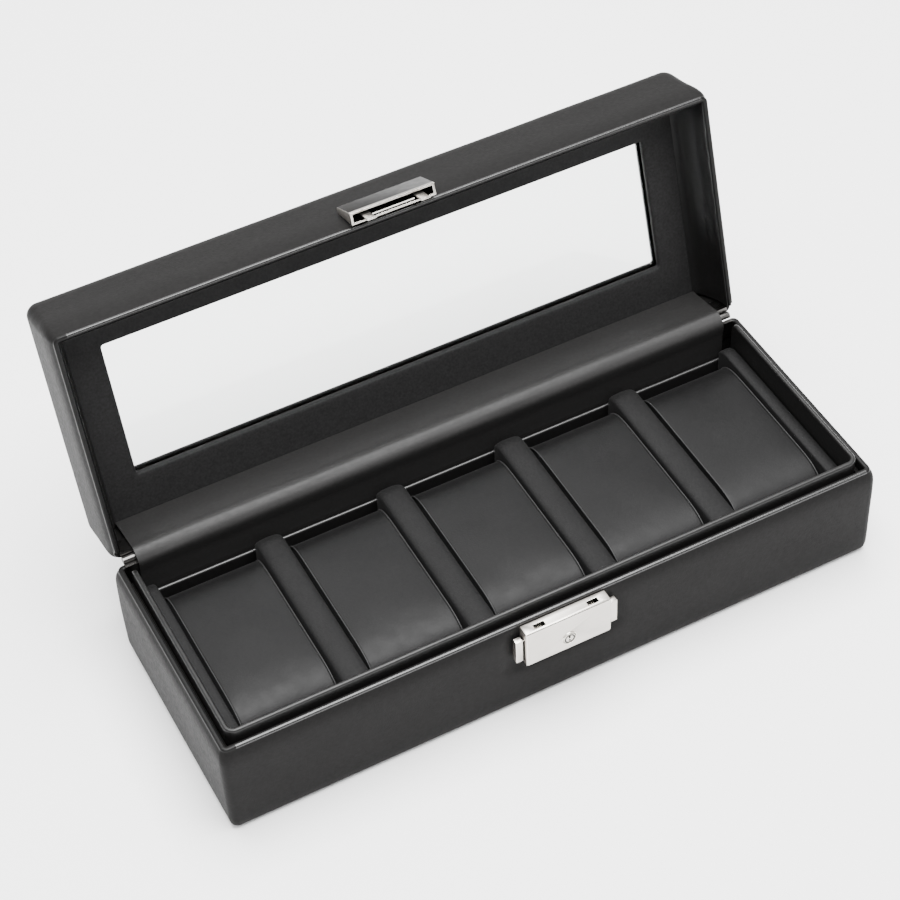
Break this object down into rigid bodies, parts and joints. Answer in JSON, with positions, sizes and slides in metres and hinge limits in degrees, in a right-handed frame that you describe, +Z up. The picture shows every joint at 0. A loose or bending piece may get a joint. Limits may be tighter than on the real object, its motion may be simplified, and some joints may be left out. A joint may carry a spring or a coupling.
{
  "type": "watch box",
  "caption": "Long leather-covered box with a glazed hinged lid, removable cushions between padded dividers, a raised inner collar and a nickel push-to-open lock",
  "frame": {"origin": "centre of the flat underside, on the surface the box stands on", "axes": "+X along the box's length, +Y towards the hinge at the back, +Z up"},
  "size_m": [0.323, 0.189, 0.1736],
  "materials": {
    "base_back_board": "raw fibreboard",
    "base_bottom_lining": "matt black suede",
    "base_floor_board": "raw fibreboard",
    "base_front_board": "raw fibreboard",
    "base_leather_cover": "smooth grained black leather",
    "base_left_board": "raw fibreboard",
    "base_right_board": "raw fibreboard",
    "catch_bar": "brushed nickel plate",
    "catch_stud_left": "brushed nickel plate",
    "catch_stud_right": "brushed nickel plate",
    "collar_front": "smooth black leather",
    "collar_left": "smooth black leather",
    "collar_right": "smooth black leather",
    "cushion_1": "matt black suede",
    "cushion_2": "matt black suede",
    "cushion_3": "matt black suede",
    "cushion_4": "matt black suede",
    "cushion_5": "matt black suede",
    "divider_1": "matt black suede",
    "divider_2": "matt black suede",
    "divider_3": "matt black suede",
    "divider_4": "matt black suede",
    "end_divider_left": "matt black suede",
    "end_divider_right": "matt black suede",
    "hinge_lining_flap": "smooth black leather",
    "hinge_lower_leaf": "brushed nickel plate",
    "hinge_pin": "brushed nickel plate",
    "hinge_screw_lower_1": "brushed nickel plate",
    "hinge_screw_lower_2": "brushed nickel plate",
    "hinge_screw_lower_3": "brushed nickel plate",
    "hinge_screw_upper_1": "brushed nickel plate",
    "hinge_screw_upper_2": "brushed nickel plate",
    "hinge_screw_upper_3": "brushed nickel plate",
    "hinge_upper_leaf": "brushed nickel plate",
    "key_cylinder": "brushed nickel plate",
    "lid_back_board": "raw fibreboard",
    "lid_front_board": "raw fibreboard",
    "lid_inner_panel": "matt black suede",
    "lid_leather_cover": "smooth grained black leather",
    "lid_left_board": "raw fibreboard",
    "lid_lining_front": "matt black suede",
    "lid_lining_left": "matt black suede",
    "lid_lining_right": "matt black suede",
    "lid_right_board": "raw fibreboard",
    "lid_top_frame": "raw fibreboard",
    "lock_back_plate": "brushed nickel plate",
    "lock_case": "brushed nickel plate",
    "lock_screw_left": "brushed nickel plate",
    "lock_screw_right": "brushed nickel plate",
    "lock_slider": "brushed nickel plate",
    "slider_spring": "brushed nickel plate",
    "tray_back_wall": "smooth black leather",
    "tray_floor_pad": "matt black suede",
    "wall_spacer_front": "raw fibreboard",
    "wall_spacer_left": "raw fibreboard",
    "wall_spacer_right": "raw fibreboard",
    "window_glass": "clear"
  },
  "bodies": {
    "base": {"base_back_board": "base_back_board", "base_bottom_lining": "base_bottom_lining", "base_floor_board": "base_floor_board", "base_front_board": "base_front_board", "base_leather_cover": "base_leather_cover", "base_left_board": "base_left_board", "base_right_board": "base_right_board", "collar_front": "collar_front", "collar_left": "collar_left", "collar_right": "collar_right", "divider_1": "divider_1", "divider_2": "divider_2", "divider_3": "divider_3", "divider_4": "divider_4", "end_divider_left": "end_divider_left", "end_divider_right": "end_divider_right", "hinge_lining_flap": "hinge_lining_flap", "hinge_lower_leaf": "hinge_lower_leaf", "hinge_pin": "hinge_pin", "hinge_screw_lower_1": "hinge_screw_lower_1", "hinge_screw_lower_2": "hinge_screw_lower_2", "hinge_screw_lower_3": "hinge_screw_lower_3", "lock_back_plate": "lock_back_plate", "lock_case": "lock_case", "lock_screw_left": "lock_screw_left", "lock_screw_right": "lock_screw_right", "slider_spring": "slider_spring", "tray_back_wall": "tray_back_wall", "tray_floor_pad": "tray_floor_pad", "wall_spacer_front": "wall_spacer_front", "wall_spacer_left": "wall_spacer_left", "wall_spacer_right": "wall_spacer_right"},
    "lid": {"catch_bar": "catch_bar", "catch_stud_left": "catch_stud_left", "catch_stud_right": "catch_stud_right", "hinge_screw_upper_1": "hinge_screw_upper_1", "hinge_screw_upper_2": "hinge_screw_upper_2", "hinge_screw_upper_3": "hinge_screw_upper_3", "hinge_upper_leaf": "hinge_upper_leaf", "lid_back_board": "lid_back_board", "lid_front_board": "lid_front_board", "lid_inner_panel": "lid_inner_panel", "lid_leather_cover": "lid_leather_cover", "lid_left_board": "lid_left_board", "lid_lining_front": "lid_lining_front", "lid_lining_left": "lid_lining_left", "lid_lining_right": "lid_lining_right", "lid_right_board": "lid_right_board", "lid_top_frame": "lid_top_frame", "window_glass": "window_glass"},
    "lock_slider": {"lock_slider": "lock_slider"},
    "key_cylinder": {"key_cylinder": "key_cylinder"},
    "cushion_1": {"cushion_1": "cushion_1"},
    "cushion_2": {"cushion_2": "cushion_2"},
    "cushion_3": {"cushion_3": "cushion_3"},
    "cushion_4": {"cushion_4": "cushion_4"},
    "cushion_5": {"cushion_5": "cushion_5"}
  },
  "joints": [
    {"name": "lid_hinge", "type": "hinge", "parent": "base", "child": "lid", "pos_m": [0, 0.0579, 0.056], "axis": [-1, 0, 0], "range_deg": [-106.3, 0], "deforming": ["hinge_lining_flap"]},
    {"name": "cushion_1_lift", "type": "slide", "parent": "base", "child": "cushion_1", "axis": [0, 0, 1], "range_m": [0, 0.06]},
    {"name": "cushion_2_lift", "type": "slide", "parent": "base", "child": "cushion_2", "axis": [0, 0, 1], "range_m": [0, 0.06]},
    {"name": "cushion_3_lift", "type": "slide", "parent": "base", "child": "cushion_3", "axis": [0, 0, 1], "range_m": [0, 0.06]},
    {"name": "cushion_4_lift", "type": "slide", "parent": "base", "child": "cushion_4", "axis": [0, 0, 1], "range_m": [0, 0.06]},
    {"name": "cushion_5_lift", "type": "slide", "parent": "base", "child": "cushion_5", "axis": [0, 0, 1], "range_m": [0, 0.06]},
    {"name": "lock_release", "type": "slide", "parent": "base", "child": "lock_slider", "axis": [1, 0, 0], "range_m": [0, 0.0015], "stiffness_N_per_m": 800, "springref_m": -0.001, "deforming": ["slider_spring"]},
    {"name": "key_turn", "type": "hinge", "parent": "base", "child": "key_cylinder", "pos_m": [0, -0.0638, 0.0386], "axis": [0, -1, 0], "range_deg": [0, 90]}
  ]
}
